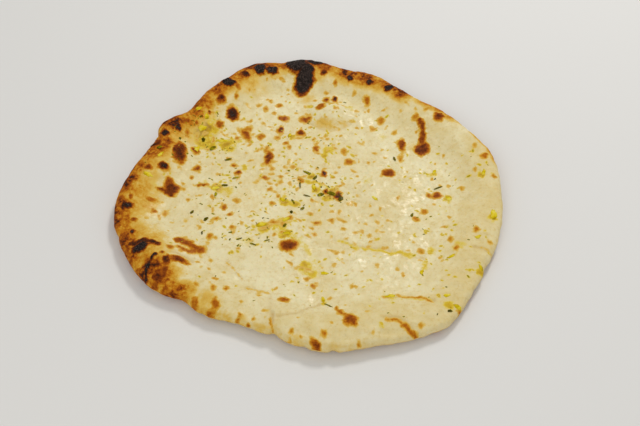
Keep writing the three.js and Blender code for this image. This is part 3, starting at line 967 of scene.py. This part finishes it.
leaf_green = herb_material(
    "wilted_coriander", srgb(50, 44, 0), srgb(104, 94, 0), srgb(176, 160, 4), 0.7, 0.6)
leaf_chance = np.random.default_rng(LEAF_SEED)
for node in sorted(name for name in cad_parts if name.startswith("coriander_leaf")):
    leaf = flake(node + "_torn", node, leaf_chance, 0.3 * MM, 0.16, 0.7 * MM, 0.1 * MM)
    leaf.data.materials.append(leaf_green)
    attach(leaf, "root")
    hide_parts(node)


# --------------------
# Garlic. Minced by knife into uneven crumbs, cooked soft in the butter, and stained yellow by
# it. Each crumb is a low lump, wet with butter and pressed a little into the dough.
# --------------------

garlic_yellow = herb_material(
    "buttered_garlic", srgb(168, 132, 4), srgb(226, 200, 24), srgb(238, 222, 96), 0.5, 1.2)
garlic_chance = np.random.default_rng(GARLIC_SEED)
for node in sorted(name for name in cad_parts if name.startswith("garlic_bit")):
    crumb = flake(node + "_minced", node, garlic_chance, 0.35 * MM, 0.2, 0.15 * MM, 0.45 * MM)
    crumb.data.materials.append(garlic_yellow)
    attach(crumb, "root")
    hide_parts(node)


# --------------------
# Herb flecks. The dust of the chopping board: hundreds of specks of leaf, stem and garlic, too
# small to pick up one by one, that came down with the butter and gathered where it pooled.
# --------------------

def fleck_points(chance, x, y, seat, size, slim, turn, lift):
    """Eight corners of one speck: a small bent chip lying on the dough."""
    corners = []
    for upper in (0, 1):
        for right, far in ((-1, -1), (1, -1), (1, 1), (-1, 1)):
            reach = size / 2 * chance.uniform(0.6, 1.15) * (0.55 if upper else 1.0)
            u, v = right * reach, far * reach * slim
            at_x = x + u * math.cos(turn) - v * math.sin(turn)
            at_y = y + u * math.sin(turn) + v * math.cos(turn)
            rise = chance.uniform(0.05, lift) * MM if upper else -SUNK
            corners.append((at_x, at_y, resting_height(at_x, at_y, seat) + rise))
    return corners


def make_flecks():
    chance = np.random.default_rng(FLECK_SEED)
    chip = [(3, 2, 1, 0), (4, 5, 6, 7), (0, 1, 5, 4), (1, 2, 6, 5), (2, 3, 7, 6), (3, 0, 4, 7)]
    points, faces, tints = [], [], []
    for x, y, size, slim, turn, tint in herb_bits:
        seat = height_of(bread_tree, x / across, y / along)
        if seat is None or size < (1.9 if tint > GREEN_TINT else 1.4):
            continue
        faces += [tuple(len(points) + corner for corner in face) for face in chip]
        lift = 0.3 if tint < GREEN_TINT else 0.12
        points += fleck_points(chance, x / across, y / along, seat, size * MM, slim, turn, lift)
        tints += [tint] * 8
    return make_mesh("herb_flecks", points, faces, {"tint": tints})


def fleck_material():
    """Each speck in its own tint, from dark leaf to garlic."""
    material = herb_material(
        "chopped_herb_dust", srgb(80, 80, 10), srgb(150, 140, 16), srgb(220, 200, 60), 0.5, 0.5)
    nodes = Nodes(material.node_tree)
    shader = material.node_tree.nodes["Principled BSDF"]
    tone = nodes.colours(nodes.field("tint"), [
        (0.0, srgb(46, 42, 0)), (0.3, srgb(104, 98, 2)), (0.5, srgb(176, 156, 4)),
        (0.8, srgb(226, 204, 40)), (1.0, srgb(228, 190, 84))])
    blotched = shader.inputs["Base Color"].links[0].from_socket
    nodes.feed(shader.inputs["Base Color"], nodes.mix(0.25, tone, blotched))
    return material


flecks = make_flecks()
flecks.data.materials.append(fleck_material())
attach(flecks, "root")


# --------------------
# The table, the light and the camera. A plain pale table top, one large soft lamp behind and
# to the right, a weaker one in front, and a camera that looks down at the bread from the front.
# --------------------

TABLE_SIZE = 14.0
ROOM_LIGHT, ROOM_COLOUR = 0.52, (1.0, 0.99, 0.97, 1.0)
AIM = Vector((0.0086, -0.023, 0.008))
CAMERA_TILT, CAMERA_DISTANCE, LENS = math.radians(49.5), 0.82, 60.0


def make_table():
    half = TABLE_SIZE / 2
    corners = [(-half, -half, 0), (half, -half, 0), (half, half, 0), (-half, half, 0)]
    table = make_mesh("table_top", corners, [(0, 1, 2, 3)], {})
    material, _, shader = new_material("pale_table")
    shader.inputs["Base Color"].default_value = srgb(232, 231, 228)
    shader.inputs["Roughness"].default_value = 0.85
    table.data.materials.append(material)
    return table


def add_lamp(name, place, size, power, colour):
    """A round soft lamp that faces the bread: size in metres, power in watts."""
    lamp = bpy.data.lights.new(name, "AREA")
    lamp.shape = "DISK"
    lamp.size, lamp.energy, lamp.color = size, power, colour
    stand = bpy.data.objects.new(name, lamp)
    stand.location = place
    stand.rotation_euler = (AIM - Vector(place)).to_track_quat("-Z", "Y").to_euler()
    bpy.context.scene.collection.objects.link(stand)


def add_camera():
    lens = bpy.data.cameras.new("camera")
    lens.lens, lens.sensor_width = LENS, 36.0
    lens.clip_start = 0.01
    camera = bpy.data.objects.new("camera", lens)
    back = Vector((0, -math.cos(CAMERA_TILT), math.sin(CAMERA_TILT)))
    camera.location = AIM + back * CAMERA_DISTANCE
    camera.rotation_euler = (-back).to_track_quat("-Z", "Y").to_euler()
    bpy.context.scene.collection.objects.link(camera)
    bpy.context.scene.camera = camera


make_table()
add_lamp("key_lamp", (0.45, 0.85, 1.1), 0.3, 7.0, (1.0, 0.99, 0.97))
add_lamp("fill_lamp", (-0.35, -1.1, 0.9), 0.8, 3.6, (1.0, 0.99, 0.98))
room = bpy.data.worlds.new("room")
room.use_nodes = True
room.node_tree.nodes["Background"].inputs["Color"].default_value = ROOM_COLOUR
room.node_tree.nodes["Background"].inputs["Strength"].default_value = ROOM_LIGHT
bpy.context.scene.world = room
bpy.context.scene.view_settings.view_transform = "Standard"
add_camera()
